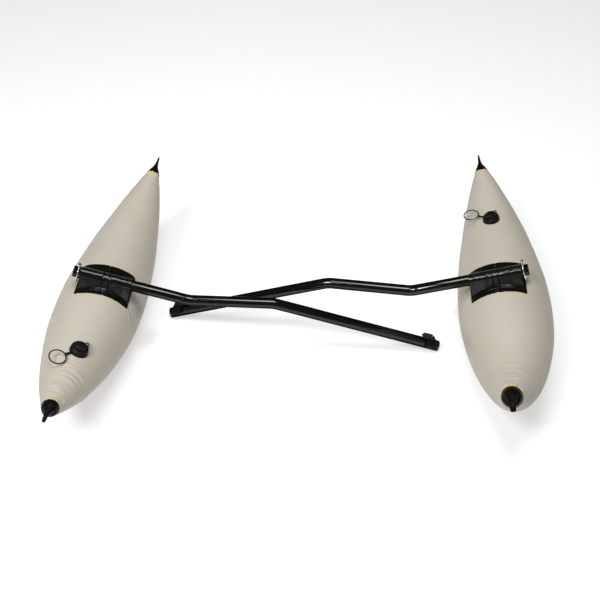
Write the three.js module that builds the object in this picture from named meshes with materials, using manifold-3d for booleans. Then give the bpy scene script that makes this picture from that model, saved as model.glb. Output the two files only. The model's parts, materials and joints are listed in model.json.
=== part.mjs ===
// Two inflatable kayak outriggers that lie on a floor with their arms crossed.
// Each one is a banana-shaped air float with a bent tube that runs through tunnels on its top.
//
// Millimetres, +Z up, +X to the right and +Y away from the viewer. An outrigger is built in its
// float's own frame: the origin is the middle of the float, +Y runs to the bow and +Z is its top.
// It is then rolled on the floor until the belly and the inner end of the tube touch together.

import * as THREE from "three";
import { mergeVertices } from "three/addons/utils/BufferGeometryUtils.js";
import Module from "manifold-3d";

const wasm = await Module();
wasm.setup();

const degrees = THREE.MathUtils.degToRad;

// Clearances
const seatGap = 0.3;
const runGap = 0.5;
const bondLine = 0.7;
const cutOverrun = 4;

// Float: a spindle whose ends rise. The length is between the points where its taper would close.
const floatLength = 937;
const floatSkin = 1;
const bow = {
  rise: 147, risePower: 2.39, taperPower: 1.85, bluntness: 0.78, capShare: 0.952,
  droop: degrees(4), tailLength: 19,
};

// Nose caps: a cup over the end of the float, then a cone that is pinched into a flat tail
const capOverlap = 10;
const capWall = 1.6;
const coneLength = 20;
const tailRootWidth = 13;
const tailRootThickness = 9;
const tailTipWidth = 8;
const tailTipThickness = 4;

// Patches on top of the float, and the tunnels that hold the tube
const patchReach = 73.5;
const patchLength = 115;
const patchThickness = 1.5;
const patchSplit = 0.6;
const patchCornerCut = 5;
const patchNotch = 3;
const patchCentre = -3;
const tubePlace = -16;
const tunnelReach = 64;
const tunnelWall = 1.6;
const tunnelFlange = 11;
const tunnelFootSpread = 4;
const tunnelFootShare = 0.25;
const loopWidth = 13;
const loopGap = 2.5;

// Arm tube: straight, a bend, a short straight, the same bend back, a long straight
const tubeDiameter = 28.6;
const tubeWall = 1.65;
const tubeOutboard = 80.5;
const tubeToFirstBend = 216;
const tubeMiddle = 219;
const tubeInner = 461;
const bendAngle = degrees(17.6);
const bendRadius = 80;

// End plugs
const plugFlange = 2;
const plugSpigot = 5;
const innerPlugRecess = 3;
const innerPlugLength = 10;

// Lock pin with its wire ring, through the outer end of the tube
const pinFromEnd = 10;
const pinDiameter = 6;
const pinHeadDiameter = 9;
const pinHeadOverRing = 4.5;
const ringDiameter = 48;
const ringWire = 3;

// Stop rivet just outboard of the first bend
const rivetToBend = 16;
const rivetHeadDiameter = 10;
const rivetHeadHeight = 2.4;
const rivetShank = 5;
const rivetTurn = degrees(62);

// Snap button under the inner end of the tube, and the V spring behind it
const buttonFromEnd = 44;
const buttonDiameter = 8;
const buttonProud = 6;
const buttonFlange = 1.5;
const buttonFlangeThickness = 0.8;
const springStrip = 1;
const springWidth = 7;
const springReach = 36;
const springTail = 6;
const springSettle = 1;

// Index plate: a saddle on the inner end of the tube that carries a hooked fin with a notch.
// Lengths are from the tube's end, and heights from its top.
const plateThickness = 4;
const saddleWall = 1.6;
const saddleStart = 9;
const saddleEnd = 38;
const finBase = 47;
const finTop = 20;
const finPeak = 22.5;
const finPeakHeight = 15;
const finNose = 57;
const finCrown = 53;
const finHookDepth = 9;
const notchWidth = 3.2;
const notchDepth = 9.5;
const notchMouth = 27.5;
const notchFoot = 29.3;

// Valve
const valveFlangeDiameter = 47;
const valveFlangeThickness = 2.4;
const neckDiameter = 33;
const neckWall = 4;
const neckHeight = 10;
const neckDepth = 9;
const webThickness = 2;
const webHole = 6;
const airHoles = 3;
const airHole = 6;
const airHoleCircle = 15;
const stemDiameter = 5;
const poppetDiameter = 22;
const poppetThickness = 2;
const poppetButton = 11;
const poppetButtonThickness = 1.5;
const poppetTravel = 4;
const coilDiameter = 9.6;
const coilWall = 1;
const collarThickness = 2;
const capDiameter = 43;
const capTop = 2.4;
const capStepDiameter = 32;
const capStepHeight = 2.6;
const capKnobDiameter = 16;
const capKnobHeight = 3.4;
const capRoundShare = 0.85;
const capLug = 7;
const capLugHole = 3.2;
const strapWidth = 5;
const strapLength = 15;
const keeperDiameter = 42;
const keeperBand = 2.5;
const valveTurn = degrees(5.2);

// Each outrigger: the size that its float is blown up to, the form of its stern, which differs from
// float to float, and how it lies in the photograph. inboard is +1 where the arm runs to the right.
const left = {
  name: "left", inboard: 1, floatDiameter: 219.5, x: -529, y: -143.5, yaw: degrees(7.6),
  armYaw: degrees(5.5), armTwist: degrees(0.5), valvePlace: -259.5, strapHeading: degrees(222),
  stern: {
    rise: 133, risePower: 2.45, taperPower: 1.89, bluntness: 1.06, capShare: 0.89,
    droop: degrees(46), tailLength: 19,
  },
};
const right = {
  name: "right", inboard: -1, floatDiameter: 238.5, x: 537.5, y: -158, yaw: degrees(4.5),
  armYaw: degrees(1.2), armTwist: degrees(17), valvePlace: 260, strapHeading: degrees(148),
  stern: {
    rise: 211.8, risePower: 3.51, taperPower: 2.065, bluntness: 1.235, capShare: 0.861,
    droop: degrees(100), tailLength: 25,
  },
};

// Facets
const floatSides = 24;
const liningSides = 12;
const floatRings = 20;
const tubeSides = 16;
const bendSteps = 3;
const roundSides = 20;
const tetherSegments = 10;
const ringSides = 6;
const ringSteps = 24;
const archSteps = 8;
const tunnelSteps = 4;
const patchSteps = 6;
const rollSearches = 40;
const skinStep = degrees(1);
const maxRoll = degrees(60);

// Colours of the finished pieces
const colours = {
  float: { color: 0xc9c2b1, roughness: 0.55, metalness: 0 },
  rubber: { color: 0x161614, roughness: 0.5, metalness: 0 },
  tube: { color: 0x0d0d0c, roughness: 0.2, metalness: 0.4 },
  plastic: { color: 0x141413, roughness: 0.45, metalness: 0 },
  steel: { color: 0xd0cec8, roughness: 0.2, metalness: 1 },
};

const halfLength = floatLength / 2;
const tubeRadius = tubeDiameter / 2;
const boreRadius = tubeRadius - tubeWall;
const patchTop = bondLine + patchThickness;
const tubeLift = patchTop + seatGap + tubeRadius + runGap;

// Geometry helpers

// Turns a geometry the right way out, by the sign of its volume
function facedOut(geometry) {
  const points = geometry.attributes.position;
  const index = geometry.index.array;
  const [a, b, c] = [new THREE.Vector3(), new THREE.Vector3(), new THREE.Vector3()];
  let volume = 0;
  for (let i = 0; i < index.length; i += 3) {
    a.fromBufferAttribute(points, index[i]);
    b.fromBufferAttribute(points, index[i + 1]);
    c.fromBufferAttribute(points, index[i + 2]);
    volume += a.dot(b.cross(c));
  }
  if (volume < 0) {
    for (let i = 0; i < index.length; i += 3) {
      [index[i + 1], index[i + 2]] = [index[i + 2], index[i + 1]];
    }
  }
  return geometry;
}

// Joins rings of equally many points into one closed body. An end is closed flat across its ring.
function loft(rings) {
  const count = rings[0].length;
  const positions = rings.flat().flatMap((p) => [p.x, p.y, p.z]);
  const index = [];
  for (let r = 0; r + 1 < rings.length; r += 1) {
    for (let i = 0; i < count; i += 1) {
      const a = r * count + i;
      const b = r * count + ((i + 1) % count);
      index.push(a, b, b + count, a, b + count, a + count);
    }
  }
  const lid = flatTriangles(rings[0]);
  const last = (rings.length - 1) * count;
  for (const [a, b, c] of lid) index.push(a, c, b);
  for (const [a, b, c] of flatTriangles(rings[rings.length - 1])) index.push(last + a, last + b, last + c);
  const geometry = new THREE.BufferGeometry();
  geometry.setAttribute("position", new THREE.Float32BufferAttribute(positions, 3));
  geometry.setIndex(index);
  return facedOut(geometry);
}

// Triangles across a flat ring of points, wound as the ring is
function flatTriangles(ring) {
  const normal = new THREE.Vector3();
  for (let i = 0; i < ring.length; i += 1) {
    normal.add(ring[i].clone().cross(ring[(i + 1) % ring.length]));
  }
  normal.normalize();
  const side = ring[1].clone().sub(ring[0]).normalize();
  const up = normal.clone().cross(side).normalize();
  const outline = ring.map((p) => new THREE.Vector2(p.dot(side), p.dot(up)));
  return THREE.ShapeUtils.triangulateShape(outline, []);
}

// Points of an ellipse about a centre, in the plane of two unit vectors
function ellipse(centre, side, up, halfWidth, halfHeight, count) {
  return Array.from({ length: count }, (_, i) => {
    const turn = (2 * Math.PI * i) / count;
    return centre.clone()
      .addScaledVector(side, halfWidth * Math.cos(turn))
      .addScaledVector(up, halfHeight * Math.sin(turn));
  });
}

function bare(geometry) {
  const copy = geometry.clone();
  copy.deleteAttribute("normal");
  copy.deleteAttribute("uv");
  return mergeVertices(copy);
}

function toSolid(geometry) {
  const merged = facedOut(bare(geometry));
  return new wasm.Manifold(new wasm.Mesh({
    numProp: 3,
    vertProperties: new Float32Array(merged.attributes.position.array),
    triVerts: new Uint32Array(merged.index.array),
  }));
}

function toGeometry(solid) {
  const mesh = solid.getMesh();
  const geometry = new THREE.BufferGeometry();
  geometry.setAttribute("position", new THREE.BufferAttribute(mesh.vertProperties, mesh.numProp));
  geometry.setIndex(new THREE.BufferAttribute(mesh.triVerts, 1));
  return geometry;
}

function cut(base, ...tools) {
  return toGeometry(tools.reduce((solid, tool) => solid.subtract(toSolid(tool)), toSolid(base)));
}

function join(...pieces) {
  return toGeometry(pieces.map(toSolid).reduce((a, b) => a.add(b)));
}

// A cylinder along Z between two heights
function drum(radius, low, high, sides = roundSides) {
  return new THREE.CylinderGeometry(radius, radius, high - low, sides)
    .rotateX(Math.PI / 2)
    .translate(0, 0, (low + high) / 2);
}

// A body of revolution about Z from [radius, height] pairs that start and end on the axis
function turned(profile, sides = roundSides) {
  const points = profile.map(([radius, height]) => new THREE.Vector2(radius, height));
  return new THREE.LatheGeometry(points, sides).rotateX(Math.PI / 2);
}

function mesh(name, geometry, colour) {
  const material = new THREE.MeshStandardMaterial(colours[colour]);
  const piece = new THREE.Mesh(facedOut(bare(geometry)), material);
  piece.name = name;
  return piece;
}

// The float's form

// Middle, radius and directions of a float's section at a share of its half length
function station(own, share) {
  const end = share < 0 ? own.stern : bow;
  const reach = Math.min(Math.abs(share), 1);
  const slope = (Math.sign(share) * end.risePower * end.rise * reach ** (end.risePower - 1)) / halfLength;
  const along = new THREE.Vector3(0, 1, slope).normalize();
  return {
    centre: new THREE.Vector3(0, share * halfLength, end.rise * reach ** end.risePower),
    radius: (own.floatDiameter / 2) * (1 - reach ** end.taperPower) ** end.bluntness,
    side: new THREE.Vector3(1, 0, 0),
    up: new THREE.Vector3(1, 0, 0).cross(along),
    along,
  };
}

// A point over the float's skin, from its share of the half length and its angle from the top
function floatPoint(own, share, angle, over) {
  const { centre, radius, side, up } = station(own, share);
  return centre.clone()
    .addScaledVector(side, (radius + over) * Math.sin(angle))
    .addScaledVector(up, (radius + over) * Math.cos(angle));
}

// A point over the skin, from lengths measured on it: across the top, and along from the middle
function wrapped(own, across, along, over) {
  const share = along / halfLength;
  return floatPoint(own, share, across / station(own, share).radius, over);
}

function floatRing(own, share, over, sides) {
  const { centre, radius, side, up } = station(own, share);
  return ellipse(centre, side, up, radius + over, radius + over, sides);
}

// Height of the float's top over its own middle, at a place seen from above
function topHeight(own, x, y, over) {
  const { centre, radius } = station(own, y / halfLength);
  return centre.z + Math.sqrt((radius + over) ** 2 - x ** 2);
}

// Height of the tube's axis over the float's own middle
function tubeHeight(own) {
  return topHeight(own, 0, tubePlace, tubeLift);
}

const overlapShare = capOverlap / halfLength;

function floatShell(own, valve) {
  const sternShare = -(own.stern.capShare + overlapShare);
  const bowShare = bow.capShare + overlapShare;
  const shares = [sternShare];
  for (let i = 0; i <= floatRings; i += 1) {
    const even = i / floatRings;
    const spread = (even + (1 - Math.cos(Math.PI * even)) / 2) / 2;
    shares.push(THREE.MathUtils.lerp(-own.stern.capShare, bow.capShare, spread));
  }
  shares.push(bowShare);
  const skinShare = floatSkin / halfLength;
  const inner = [sternShare + skinShare, ...shares.slice(1, -1), bowShare - skinShare];
  const outside = loft(shares.map((share) => floatRing(own, share, 0, floatSides)));
  const lining = loft(inner.map((share) => floatRing(own, share, -floatSkin, liningSides)));
  const hole = drum(neckDiameter / 2 + seatGap, -neckDepth, neckDepth).applyMatrix4(valve);
  return cut(outside, lining, hole);
}

// A cup over the float's end, a cone and a pinched tail that droops
function noseCap(own, sign, end) {
  const rimShare = sign * end.capShare;
  const seatShare = sign * (end.capShare + overlapShare);
  const outerStep = seatGap + capWall;
  const seat = station(own, seatShare);
  const inside = station(own, seatShare + (sign * seatGap) / halfLength);
  const mouth = seat.radius + seatGap;
  const rings = [
    ellipse(inside.centre, inside.side, inside.up, mouth, mouth, floatSides),
    floatRing(own, rimShare, seatGap, floatSides),
    floatRing(own, rimShare, outerStep, floatSides),
    floatRing(own, seatShare, outerStep, floatSides),
  ];
  const length = coneLength + end.tailLength;
  const start = { width: 2 * (seat.radius + outerStep), height: 2 * (seat.radius + outerStep) };
  const root = { width: tailRootWidth, height: tailRootThickness };
  const tip = { width: tailTipWidth, height: tailTipThickness };
  const forms = [
    { at: coneLength / 2, from: start, to: root },
    { at: coneLength, from: root, to: root },
    { at: coneLength + end.tailLength / 2, from: root, to: tip },
    { at: length, from: tip, to: tip },
  ];
  const centre = seat.centre.clone();
  let reached = 0;
  for (const { at, from, to } of forms) {
    const middle = (reached + at) / 2;
    centre.addScaledVector(drooped(seat, sign, (end.droop * middle) / length), at - reached);
    const along = drooped(seat, sign, (end.droop * at) / length);
    const up = seat.side.clone().cross(along).multiplyScalar(sign);
    const width = (from.width + to.width) / 4;
    const height = (from.height + to.height) / 4;
    rings.push(ellipse(centre, seat.side, up, width, height, floatSides));
    reached = at;
  }
  return loft(rings);
}

// The way out of the float's end, turned down by an angle
function drooped(seat, sign, angle) {
  return seat.along.clone().applyAxisAngle(seat.side, -sign * angle).multiplyScalar(sign);
}

// Patches and tunnels. Here x runs along the arm and y across it: from the middle of the patches
// for a patch, and from the tube for a tunnel.

function patch(own, arm, from, to) {
  const corner = Math.abs(to) > Math.abs(from) ? to : from;
  const step = Math.sign(to - from);
  const places = Array.from({ length: patchSteps + 1 }, (_, i) => (
    THREE.MathUtils.lerp(from, to, i / patchSteps)
  ));
  places.splice(1, 0, from + step * patchNotch);
  places.splice(-1, 0, to - step * patchCornerCut);
  return loft(places.map((place) => {
    const notch = place === from ? patchNotch : 0;
    const half = patchLength / 2 - (place === corner ? patchCornerCut : notch);
    const low = [];
    const high = [];
    for (let i = 0; i <= patchSteps; i += 1) {
      const y = THREE.MathUtils.lerp(-half, half, i / patchSteps);
      const across = place * arm.x - y * arm.y;
      const along = patchCentre + place * arm.y + y * arm.x;
      low.push(wrapped(own, across, along, bondLine));
      high.unshift(wrapped(own, across, along, patchTop));
    }
    return [...low, ...high];
  }));
}

// Height of the patch's top over the tube's axis, in the arm's own directions
function patchHeight(own, arm, x, y) {
  const across = x * arm.x - y * arm.y;
  const along = tubePlace + x * arm.y + y * arm.x;
  return topHeight(own, across, along, patchTop + seatGap) - tubeHeight(own);
}

// One section of a tunnel: a foot on the patch, a wall, an arch over the tube, and down again
function tunnelSection(own, arm, x) {
  const inner = tubeRadius + runGap;
  const outer = inner + tunnelWall;
  const drop = -patchHeight(own, arm, x, 0);
  const foot = outer + tunnelFootSpread + tunnelFootShare * (drop - tubeLift);
  const edge = foot + tunnelFlange;
  const under = (y) => new THREE.Vector3(x, y, patchHeight(own, arm, x, y));
  const over = (y) => new THREE.Vector3(x, y, patchHeight(own, arm, x, y) + tunnelWall);
  const arch = (radius) => Array.from({ length: archSteps + 1 }, (_, i) => {
    const turn = THREE.MathUtils.lerp(archEnd, Math.PI - archEnd, i / archSteps);
    return new THREE.Vector3(x, radius * Math.cos(turn), radius * Math.sin(turn));
  });
  return [
    under(edge), over(edge), over(foot), ...arch(outer), over(-foot), over(-edge), under(-edge),
    under(tunnelWall - foot), ...arch(inner).reverse(), under(foot - tunnelWall),
  ];
}

const archEnd = degrees(8);

function tunnel(own, arm, from, to, steps) {
  return loft(Array.from({ length: steps + 1 }, (_, i) => (
    tunnelSection(own, arm, THREE.MathUtils.lerp(from, to, i / steps))
  )));
}

// The arm. Its own frame has x inboard along the tube and z the way the middle part climbs.

// Centre line of the tube as stations with their directions
function tubeLine(before, after) {
  const stations = [{ x: -tubeOutboard - before, z: 0, turn: 0 }];
  const tangent = bendRadius * Math.tan(bendAngle / 2);
  const climb = { x: Math.cos(bendAngle), z: Math.sin(bendAngle) };
  const first = { x: tubeToFirstBend, z: 0 };
  const second = { x: first.x + tubeMiddle * climb.x, z: tubeMiddle * climb.z };
  for (let i = 0; i <= bendSteps; i += 1) {
    const turn = (bendAngle * i) / bendSteps;
    stations.push({
      x: first.x - tangent + bendRadius * Math.sin(turn),
      z: bendRadius * (1 - Math.cos(turn)),
      turn,
    });
  }
  for (let i = 0; i <= bendSteps; i += 1) {
    const turn = bendAngle * (1 - i / bendSteps);
    stations.push({
      x: second.x + tangent - bendRadius * Math.sin(turn),
      z: second.z - bendRadius * (1 - Math.cos(turn)),
      turn,
    });
  }
  stations.push({ x: second.x + tubeInner + after, z: second.z, turn: 0 });
  return stations;
}

const tubeEnd = tubeLine(0, 0).at(-1);

function tubeSweep(radius, overrun) {
  return loft(tubeLine(overrun, overrun).map(({ x, z, turn }) => {
    const up = new THREE.Vector3(-Math.sin(turn), 0, Math.cos(turn));
    return ellipse(new THREE.Vector3(x, 0, z), new THREE.Vector3(0, 1, 0), up, radius, radius, tubeSides);
  }));
}

const pinPlace = new THREE.Matrix4().makeTranslation(-tubeOutboard + pinFromEnd, 0, 0);
const buttonPlace = new THREE.Matrix4().makeTranslation(tubeEnd.x - buttonFromEnd, 0, tubeEnd.z);
const plateTurn = new THREE.Matrix4().makeTranslation(tubeEnd.x, 0, tubeEnd.z);

function rivetPlace(inboard) {
  return new THREE.Matrix4().makeTranslation(tubeToFirstBend - rivetToBend, 0, 0)
    .multiply(new THREE.Matrix4().makeRotationX(inboard * rivetTurn));
}

function armTube(inboard) {
  const reach = tubeRadius + cutOverrun;
  return cut(
    tubeSweep(tubeRadius, 0),
    tubeSweep(boreRadius, cutOverrun),
    drum(pinDiameter / 2 + seatGap, -reach, reach).applyMatrix4(pinPlace),
    drum(buttonDiameter / 2 + seatGap, -reach, 0).applyMatrix4(buttonPlace),
    drum(rivetShank / 2 + seatGap, 0, reach).applyMatrix4(rivetPlace(inboard)),
  );
}

function outerPlug() {
  const spigot = boreRadius - seatGap;
  return turned([
    [0, seatGap + plugFlange], [tubeRadius, seatGap + plugFlange], [tubeRadius, seatGap],
    [spigot, seatGap], [spigot, -plugSpigot], [0, -plugSpigot],
  ]).rotateY(-Math.PI / 2).translate(-tubeOutboard, 0, 0);
}

function innerPlug() {
  return drum(boreRadius - seatGap, -innerPlugRecess - innerPlugLength, -innerPlugRecess)
    .rotateY(Math.PI / 2)
    .translate(tubeEnd.x, 0, tubeEnd.z);
}

const ringRadius = ringDiameter / 2;

function lockPin() {
  const head = pinHeadDiameter / 2;
  const shaft = pinDiameter / 2;
  const headLow = tubeRadius + seatGap;
  const headHigh = ringRadius + pinHeadOverRing;
  const tip = Math.sqrt((ringRadius - ringWire / 2) ** 2 - shaft ** 2) - runGap;
  const body = turned([
    [0, headHigh], [head - capRoundShare, headHigh], [head, headHigh - capRoundShare], [head, headLow],
    [shaft, headLow], [shaft, -tip], [0, -tip],
  ]);
  const bow = ringRadius - Math.sqrt(ringRadius ** 2 - head ** 2);
  const eye = drum(ringWire / 2 + bow + runGap, -head - cutOverrun, head + cutOverrun)
    .rotateX(Math.PI / 2)
    .translate(0, 0, ringRadius);
  return cut(body, eye).applyMatrix4(pinPlace);
}

function lockRing() {
  return new THREE.TorusGeometry(ringRadius, ringWire / 2, ringSides, ringSteps)
    .rotateY(Math.PI / 2)
    .applyMatrix4(pinPlace);
}

function stopRivet(inboard) {
  const head = rivetHeadDiameter / 2;
  const shank = rivetShank / 2;
  const seat = tubeRadius + seatGap;
  return turned([
    [0, seat + rivetHeadHeight], [head / 2, seat + rivetHeadHeight * capRoundShare], [head, seat],
    [shank, seat], [shank, boreRadius - tubeWall], [0, boreRadius - tubeWall],
  ]).applyMatrix4(rivetPlace(inboard));
}

// The button's flange lies against the inside of the tube, behind its hole
const flangeReach = Math.sqrt(boreRadius ** 2 - (buttonDiameter / 2 + buttonFlange) ** 2) - seatGap;
const buttonBase = flangeReach - buttonFlangeThickness;

function snapButton() {
  const radius = buttonDiameter / 2;
  const flange = radius + buttonFlange;
  const tip = tubeRadius + buttonProud;
  return turned([
    [0, -tip], [radius * (1 - capRoundShare / 2), -tip], [radius, -tip + radius / 2],
    [radius, -buttonBase - buttonFlangeThickness], [flange, -buttonBase - buttonFlangeThickness],
    [flange, -buttonBase], [0, -buttonBase],
  ]).applyMatrix4(buttonPlace);
}

// A strip bent into a V: one leg lies behind the button, the other against the far wall
function buttonSpring() {
  const low = -buttonBase + seatGap;
  const high = Math.sqrt(boreRadius ** 2 - (springWidth / 2) ** 2) - springSettle;
  const flat = springTail;
  const outline = [
    [flat, low], [-flat, low], [-springReach, -springStrip], [-springReach - springStrip, 0],
    [-springReach, springStrip], [0, high], [flat, high], [flat, high - springStrip],
    [0, high - springStrip], [-springReach + 2 * springStrip, 0],
    [-flat, low + springStrip], [flat, low + springStrip],
  ];
  const shape = new THREE.Shape(outline.map(([x, z]) => new THREE.Vector2(x, z)));
  return new THREE.ExtrudeGeometry(shape, { depth: springWidth, bevelEnabled: false })
    .translate(0, 0, -springWidth / 2)
    .rotateX(Math.PI / 2)
    .applyMatrix4(buttonPlace);
}

// A saddle over the top half of the tube, with a hooked fin that has an open notch
function indexPlate() {
  const seat = tubeRadius + seatGap;
  const saddle = cut(
    drum(seat + saddleWall, -saddleEnd, -saddleStart),
    drum(seat, -saddleEnd - cutOverrun, cutOverrun - saddleStart),
    new THREE.BoxGeometry(4 * seat, 2 * seat, saddleEnd + saddleStart)
      .translate(0, -seat, -(saddleStart + saddleEnd) / 2),
  ).rotateX(Math.PI / 2).rotateZ(Math.PI / 2);
  const half = notchWidth / 2;
  const outline = [
    [saddleStart, 0], [finPeak, finPeakHeight], [notchMouth - half, (finPeakHeight + finTop) / 2],
    [notchFoot - half, finTop - notchDepth], [notchFoot + half, finTop - notchDepth],
    [notchMouth + half, finTop], [finCrown, finTop], [finNose, finTop - finHookDepth], [finBase, 0],
  ];
  const fin = new THREE.ExtrudeGeometry(
    new THREE.Shape(outline.map(([x, z]) => new THREE.Vector2(-x, seat + z))),
    { depth: plateThickness, bevelEnabled: false },
  ).translate(0, 0, -plateThickness / 2).rotateX(Math.PI / 2);
  return join(saddle, fin).applyMatrix4(plateTurn);
}

// The valve. Its own frame has z out of the float and y towards the bow, from a point on the skin.

function valveFrame(own) {
  const share = own.valvePlace / halfLength;
  const skin = (ahead, aside) => floatPoint(own, share + ahead, valveTurn + aside, 0);
  const along = skin(skinStep, 0).sub(skin(-skinStep, 0)).normalize();
  const across = skin(0, skinStep).sub(skin(0, -skinStep)).normalize();
  const out = across.clone().cross(along);
  return new THREE.Matrix4().makeBasis(across, along, out).setPosition(skin(0, 0));
}

const neckTop = neckHeight;
const webTop = -neckDepth + webThickness;

// A round flange that follows the skin, with a neck through it and a pierced web in the neck
function valveBase(own, frame) {
  const middle = station(own, own.valvePlace / halfLength).radius * valveTurn;
  const flangeRing = (radius, over) => Array.from({ length: roundSides }, (_, i) => {
    const turn = (2 * Math.PI * i) / roundSides;
    const across = middle + radius * Math.cos(turn);
    return wrapped(own, across, own.valvePlace + radius * Math.sin(turn), over);
  });
  const rim = valveFlangeDiameter / 2;
  const bore = neckDiameter / 2 - neckWall;
  const top = bondLine + valveFlangeThickness;
  const flange = loft([
    flangeRing(bore, bondLine), flangeRing(rim, bondLine), flangeRing(rim, top), flangeRing(bore, top),
  ]);
  const neck = drum(neckDiameter / 2, -neckDepth, neckTop).applyMatrix4(frame);
  const well = drum(bore, webTop, neckTop + cutOverrun).applyMatrix4(frame);
  const pierce = (diameter) => drum(diameter / 2, -neckDepth - cutOverrun, webTop + cutOverrun, ringSides);
  const holes = Array.from({ length: airHoles }, (_, i) => pierce(airHole)
    .translate(airHoleCircle / 2, 0, 0)
    .rotateZ((2 * Math.PI * i) / airHoles)
    .applyMatrix4(frame));
  const guide = drum(webHole / 2, -neckDepth - cutOverrun, webTop + cutOverrun).applyMatrix4(frame);
  return cut(join(flange, neck), well, guide, ...holes);
}

function valvePoppet() {
  const head = -neckDepth - seatGap;
  const buttonHigh = neckTop - poppetTravel;
  const buttonLow = buttonHigh - poppetButtonThickness;
  const stem = stemDiameter / 2;
  return turned([
    [0, buttonHigh], [poppetButton / 2, buttonHigh], [poppetButton / 2, buttonLow], [stem, buttonLow],
    [stem, head], [poppetDiameter / 2, head], [poppetDiameter / 2, head - poppetThickness],
    [0, head - poppetThickness],
  ]);
}

function poppetSpring() {
  const low = webTop + seatGap;
  const high = neckTop - poppetTravel - poppetButtonThickness - seatGap;
  return cut(
    drum(coilDiameter / 2, low, high),
    drum(coilDiameter / 2 - coilWall, low - cutOverrun, high + cutOverrun),
  );
}

const collarLow = bondLine + valveFlangeThickness + seatGap;
const capSkirtLow = collarLow + collarThickness + runGap;

// A stepped screw cap over the neck, with a lug and a small hole at its rim
function valveCap() {
  const inner = neckDiameter / 2 + runGap;
  const outer = capDiameter / 2;
  const ceiling = neckTop + runGap;
  const roof = ceiling + capTop;
  const step = roof + capStepHeight;
  const knob = step + capKnobHeight;
  const shell = turned([
    [0, ceiling], [inner, ceiling], [inner, capSkirtLow], [outer, capSkirtLow], [outer, roof - capTop / 2],
    [outer - capTop / 2, roof], [capStepDiameter / 2, roof], [(capStepDiameter / 2) * capRoundShare, step],
    [capKnobDiameter / 2, step], [(capKnobDiameter / 2) * capRoundShare, knob], [0, knob],
  ]);
  const lugTop = capSkirtLow + collarThickness;
  const lug = drum(capLug / 2, capSkirtLow, lugTop).translate(outer, 0, 0);
  const eye = drum(capLugHole / 2, capSkirtLow - cutOverrun, lugTop + cutOverrun, ringSides)
    .translate(outer + capLugHole / 2, 0, 0);
  const bore = drum(inner, capSkirtLow - cutOverrun, ceiling);
  return cut(join(shell, lug), eye, bore).rotateZ(capLugHeading);
}

const capLugHeading = degrees(58);

// Collar round the neck, a flat strap and a thin keeper ring, moulded as one
function capTether(heading) {
  const inner = neckDiameter / 2 + seatGap;
  const outer = capDiameter / 2;
  const keeper = keeperDiameter / 2;
  const keeperAt = outer + strapLength + keeper;
  const half = strapWidth / 2;
  const collarAngle = Math.asin(half / outer);
  const keeperAngle = Math.asin(half / keeper);
  const shape = new THREE.Shape();
  shape.absarc(0, 0, outer, collarAngle, 2 * Math.PI - collarAngle, false);
  shape.absarc(keeperAt, 0, keeper, Math.PI + keeperAngle, 3 * Math.PI - keeperAngle, false);
  shape.closePath();
  const collarHole = new THREE.Path().absarc(0, 0, inner, 0, 2 * Math.PI, true);
  const keeperHole = new THREE.Path().absarc(keeperAt, 0, keeper - keeperBand, 0, 2 * Math.PI, true);
  shape.holes.push(collarHole, keeperHole);
  return new THREE.ExtrudeGeometry(shape, {
    depth: collarThickness, bevelEnabled: false, curveSegments: tetherSegments,
  }).translate(0, 0, collarLow).rotateZ(heading);
}

// One outrigger in its float's frame

function outrigger(own) {
  const { name, inboard, armYaw, armTwist, strapHeading, yaw } = own;
  const group = new THREE.Group();
  const heading = inboard > 0 ? armYaw : Math.PI - armYaw;
  const arm = { x: Math.cos(heading), y: Math.sin(heading) };
  const frame = valveFrame(own);
  const add = (parent, piece, geometry, colour) => {
    parent.add(mesh(`${name}_${piece}`, geometry, colour));
  };

  add(group, "float", floatShell(own, frame), "float");
  add(group, "bow_nose_cap", noseCap(own, 1, bow), "rubber");
  add(group, "stern_nose_cap", noseCap(own, -1, own.stern), "rubber");
  add(group, "outboard_patch", patch(own, arm, -patchSplit / 2, -patchReach), "rubber");
  add(group, "inboard_patch", patch(own, arm, patchSplit / 2, patchReach), "rubber");

  const onTop = new THREE.Group();
  onTop.position.set(0, tubePlace, tubeHeight(own));
  onTop.rotation.z = heading;
  const loopHalf = loopWidth / 2;
  const tunnelStart = loopHalf + loopGap;
  add(onTop, "outboard_tunnel", tunnel(own, arm, -tunnelReach, -tunnelStart, tunnelSteps), "rubber");
  add(onTop, "middle_loop", tunnel(own, arm, -loopHalf, loopHalf, 1), "rubber");
  add(onTop, "inboard_tunnel", tunnel(own, arm, tunnelStart, tunnelReach, tunnelSteps), "rubber");

  const armFrame = new THREE.Group();
  armFrame.rotation.x = -inboard * armTwist;
  add(armFrame, "arm_tube", armTube(inboard), "tube");
  add(armFrame, "outer_plug", outerPlug(), "plastic");
  add(armFrame, "inner_plug", innerPlug(), "plastic");
  add(armFrame, "lock_pin", lockPin(), "steel");
  add(armFrame, "lock_ring", lockRing(), "steel");
  add(armFrame, "stop_rivet", stopRivet(inboard), "plastic");
  add(armFrame, "snap_button", snapButton(), "steel");
  add(armFrame, "button_spring", buttonSpring(), "steel");
  add(armFrame, "index_plate", indexPlate(), "plastic");
  onTop.add(armFrame);
  group.add(onTop);

  add(group, "valve_base", valveBase(own, frame), "plastic");
  const valve = new THREE.Group();
  valve.applyMatrix4(frame);
  add(valve, "valve_poppet", valvePoppet(), "plastic");
  add(valve, "poppet_spring", poppetSpring(), "steel");
  add(valve, "valve_cap", valveCap(), "plastic");
  add(valve, "cap_tether", capTether(strapHeading + yaw), "plastic");
  group.add(valve);
  return group;
}

// Laying down

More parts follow.
